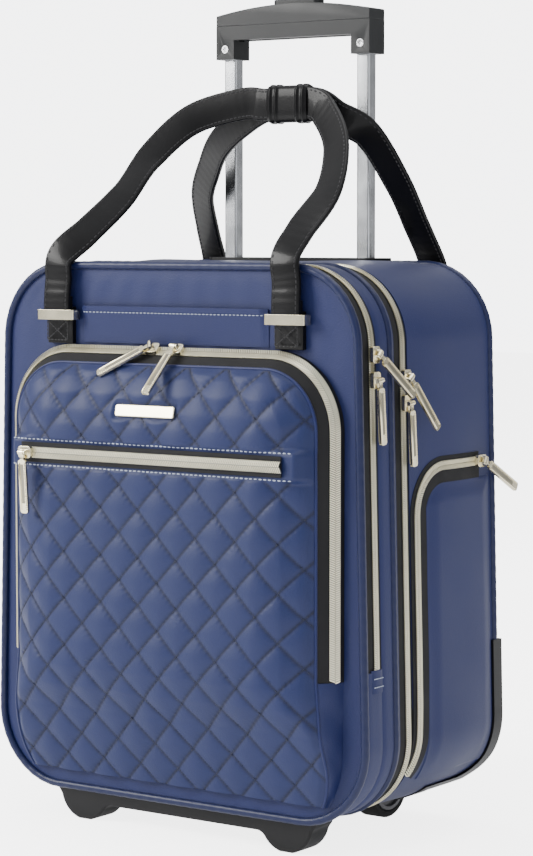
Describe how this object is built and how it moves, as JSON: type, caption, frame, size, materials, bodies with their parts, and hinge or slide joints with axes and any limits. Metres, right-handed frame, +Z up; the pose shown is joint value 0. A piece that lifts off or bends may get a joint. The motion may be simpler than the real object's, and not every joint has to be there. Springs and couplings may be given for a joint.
{
  "type": "rolling laptop case",
  "caption": "Soft rolling case with zipped sections, a quilted front pocket, carry straps and a telescopic trolley on inline wheels.",
  "frame": {"origin": "on the floor, under the middle of the case's box", "axes": "+X right seen from the front, +Y to the back (trolley side), +Z up"},
  "size_m": [0.3486, 0.2387, 0.628],
  "materials": {
    "gold_metal": "pale satin",
    "hub_grey": "satin",
    "leather_black": "smooth black",
    "lining": "smooth lining",
    "nylon_blue": "plain woven nylon",
    "nylon_quilt": "quilted nylon",
    "piping_blue": "satin bead",
    "plastic_black": "fine texture",
    "plastic_grey": "satin",
    "screw_steel": "bright",
    "steel_dark": "satin",
    "tread": "matt",
    "tube_steel": "anodised",
    "zip_tape": "woven zip tape with a pale gold coil"
  },
  "bodies": {
    "carcass": {"rear_shell": "nylon_blue", "back_panel": "nylon_blue", "main_zip_rear": "zip_tape", "side_pocket_panel": "nylon_blue", "side_pocket_zip": "zip_tape", "rear_fixed_sliders": "gold_metal", "trolley_bezel": "plastic_black", "outer_tubes": "steel_dark", "wheel_housings": "plastic_black", "wheel_axles": "screw_steel", "rear_anchor_tabs": "leather_black", "rear_loops": "gold_metal"},
    "main_lid": {"lid_gusset": "nylon_blue", "lid_divider": "lining", "laptop_sleeve": "lining", "lid_piping": "piping_blue", "main_zip_lid": "zip_tape", "laptop_zip_lid": "zip_tape", "laptop_slider_upper": "gold_metal", "quilted_panel_lower": "nylon_quilt", "foot_bar": "plastic_black"},
    "front_panel": {"front_panel": "nylon_blue", "front_piping": "piping_blue", "laptop_zip_panel": "zip_tape", "pocket_zip_base": "zip_tape", "slot_pocket": "nylon_blue", "front_anchor_tabs": "leather_black", "front_loops": "gold_metal"},
    "pocket_flap": {"quilted_panel": "nylon_quilt", "pocket_zip_flap": "zip_tape", "organiser_zip": "zip_tape", "badge": "gold_metal"},
    "front_handle": {"front_strap": "leather_black", "front_wrap": "leather_black"},
    "rear_handle": {"rear_strap": "leather_black", "rear_wrap": "leather_black"},
    "trolley_middle": {"middle_tubes": "tube_steel"},
    "trolley_inner": {"inner_tubes": "tube_steel", "grip_base": "plastic_grey", "grip_cap": "plastic_grey", "grip_screws": "screw_steel"},
    "button": {"release_button": "plastic_black"},
    "rods": {"push_rods": "steel_dark"},
    "wheel_left": {"hub_left": "hub_grey", "tyre_left": "tread"},
    "wheel_right": {"hub_right": "hub_grey", "tyre_right": "tread"},
    "organiser_slider": {"organiser_slider": "gold_metal"},
    "pocket_slider_left": {"pocket_slider_left": "gold_metal"},
    "pocket_slider_right": {"pocket_slider_right": "gold_metal"},
    "laptop_slider_lower": {"laptop_slider_lower": "gold_metal"},
    "main_slider_lower": {"main_slider_lower": "gold_metal"},
    "organiser_pull": {"organiser_pull": "gold_metal"},
    "pocket_pull_left": {"pocket_pull_left": "gold_metal"},
    "pocket_pull_right": {"pocket_pull_right": "gold_metal"},
    "laptop_pull_upper": {"laptop_pull_upper": "gold_metal"},
    "laptop_pull_lower": {"laptop_pull_lower": "gold_metal"},
    "main_pull_upper": {"main_pull_upper": "gold_metal"},
    "main_pull_lower": {"main_pull_lower": "gold_metal"},
    "side_pocket_pull": {"side_pocket_pull": "gold_metal"}
  },
  "joints": [
    {"name": "main_lid_hinge", "type": "hinge", "parent": "carcass", "child": "main_lid", "pos_m": [-0.1728, -0.021, 0.226], "axis": [0, 0, -1], "range_deg": [0, 150]},
    {"name": "laptop_panel_fold", "type": "hinge", "parent": "main_lid", "child": "front_panel", "pos_m": [0, -0.1092, 0.131], "axis": [1, 0, 0], "range_deg": [0, 55]},
    {"name": "pocket_flap_fold", "type": "hinge", "parent": "front_panel", "child": "pocket_flap", "pos_m": [0, -0.1092, 0.131], "axis": [1, 0, 0], "range_deg": [0, 45]},
    {"name": "front_handle_swing", "type": "hinge", "parent": "front_panel", "child": "front_handle", "pos_m": [0, -0.082, 0.406], "axis": [1, 0, 0], "range_deg": [0, 140]},
    {"name": "rear_handle_swing", "type": "hinge", "parent": "carcass", "child": "rear_handle", "pos_m": [0, 0.113, 0.406], "axis": [-1, 0, 0], "range_deg": [0, 7]},
    {"name": "trolley_middle_slide", "type": "slide", "parent": "carcass", "child": "trolley_middle", "axis": [0, 0, 1], "range_m": [0, 0.26]},
    {"name": "trolley_inner_slide", "type": "slide", "parent": "trolley_middle", "child": "trolley_inner", "axis": [0, 0, 1], "range_m": [-0.145, 0.16]},
    {"name": "button_press", "type": "slide", "parent": "trolley_inner", "child": "button", "axis": [0, 0, -1], "range_m": [0, 0.004], "stiffness_N_per_m": 500, "springref_m": -0.004},
    {"name": "rod_travel", "type": "slide", "parent": "trolley_inner", "child": "rods", "axis": [0, 0, -1], "range_m": [0, 0.004]},
    {"name": "wheel_left_spin", "type": "hinge", "parent": "carcass", "child": "wheel_left", "pos_m": [-0.084, 0.072, 0.027], "axis": [1, 0, 0], "continuous": true},
    {"name": "wheel_right_spin", "type": "hinge", "parent": "carcass", "child": "wheel_right", "pos_m": [0.084, 0.072, 0.027], "axis": [1, 0, 0], "continuous": true},
    {"name": "organiser_slider_run", "type": "slide", "parent": "pocket_flap", "child": "organiser_slider", "axis": [1, 0, 0], "range_m": [0, 0.22]},
    {"name": "pocket_slider_left_run", "type": "slide", "parent": "pocket_flap", "child": "pocket_slider_left", "axis": [-1, 0, 0], "range_m": [0, 0.066]},
    {"name": "pocket_slider_right_run", "type": "slide", "parent": "pocket_flap", "child": "pocket_slider_right", "axis": [1, 0, 0], "range_m": [0, 0.07]},
    {"name": "laptop_slider_run", "type": "slide", "parent": "main_lid", "child": "laptop_slider_lower", "axis": [0.0251, 0, -0.9997], "range_m": [0, 0.19]},
    {"name": "main_slider_run", "type": "slide", "parent": "carcass", "child": "main_slider_lower", "axis": [0.0251, 0, -0.9997], "range_m": [0, 0.22]},
    {"name": "organiser_pull_swing", "type": "hinge", "parent": "organiser_slider", "child": "organiser_pull", "pos_m": [-0.112, -0.1177, 0.284], "axis": [-1, 0, 0], "range_deg": [-2, 100]},
    {"name": "pocket_pull_left_swing", "type": "hinge", "parent": "pocket_slider_left", "child": "pocket_pull_left", "pos_m": [-0.014, -0.0878, 0.3654], "axis": [-0.5446, 0.593, 0.593], "range_deg": [0, 90]},
    {"name": "pocket_pull_right_swing", "type": "hinge", "parent": "pocket_slider_right", "child": "pocket_pull_right", "pos_m": [0.008, -0.0878, 0.3654], "axis": [-0.9986, 0.037, 0.037], "range_deg": [0, 90]},
    {"name": "laptop_pull_upper_swing", "type": "hinge", "parent": "main_lid", "child": "laptop_pull_upper", "pos_m": [0.16906, -0.061, 0.36219], "axis": [0.0187, -0.6691, -0.7429], "range_deg": [-8, 75]},
    {"name": "laptop_pull_lower_swing", "type": "hinge", "parent": "laptop_slider_lower", "child": "laptop_pull_lower", "pos_m": [0.16951, -0.061, 0.34419], "axis": [0.0026, -0.9945, -0.1045], "range_deg": [0, 85]},
    {"name": "main_pull_upper_swing", "type": "hinge", "parent": "carcass", "child": "main_pull_upper", "pos_m": [0.16951, -0.021, 0.34419], "axis": [0.014, -0.829, -0.559], "range_deg": [-8, 80]},
    {"name": "main_pull_lower_swing", "type": "hinge", "parent": "main_slider_lower", "child": "main_pull_lower", "pos_m": [0.16996, -0.021, 0.32619], "axis": [0.0026, -0.9945, -0.1045], "range_deg": [0, 85]},
    {"name": "side_pocket_pull_swing", "type": "hinge", "parent": "carcass", "child": "side_pocket_pull", "pos_m": [0.17247, 0.078, 0.27814], "axis": [0.0218, -0.5, -0.8658], "range_deg": [-4, 75]}
  ],
  "couplings": [
    {"joint": "rod_travel", "follows": "button_press", "ratio": 1}
  ]
}
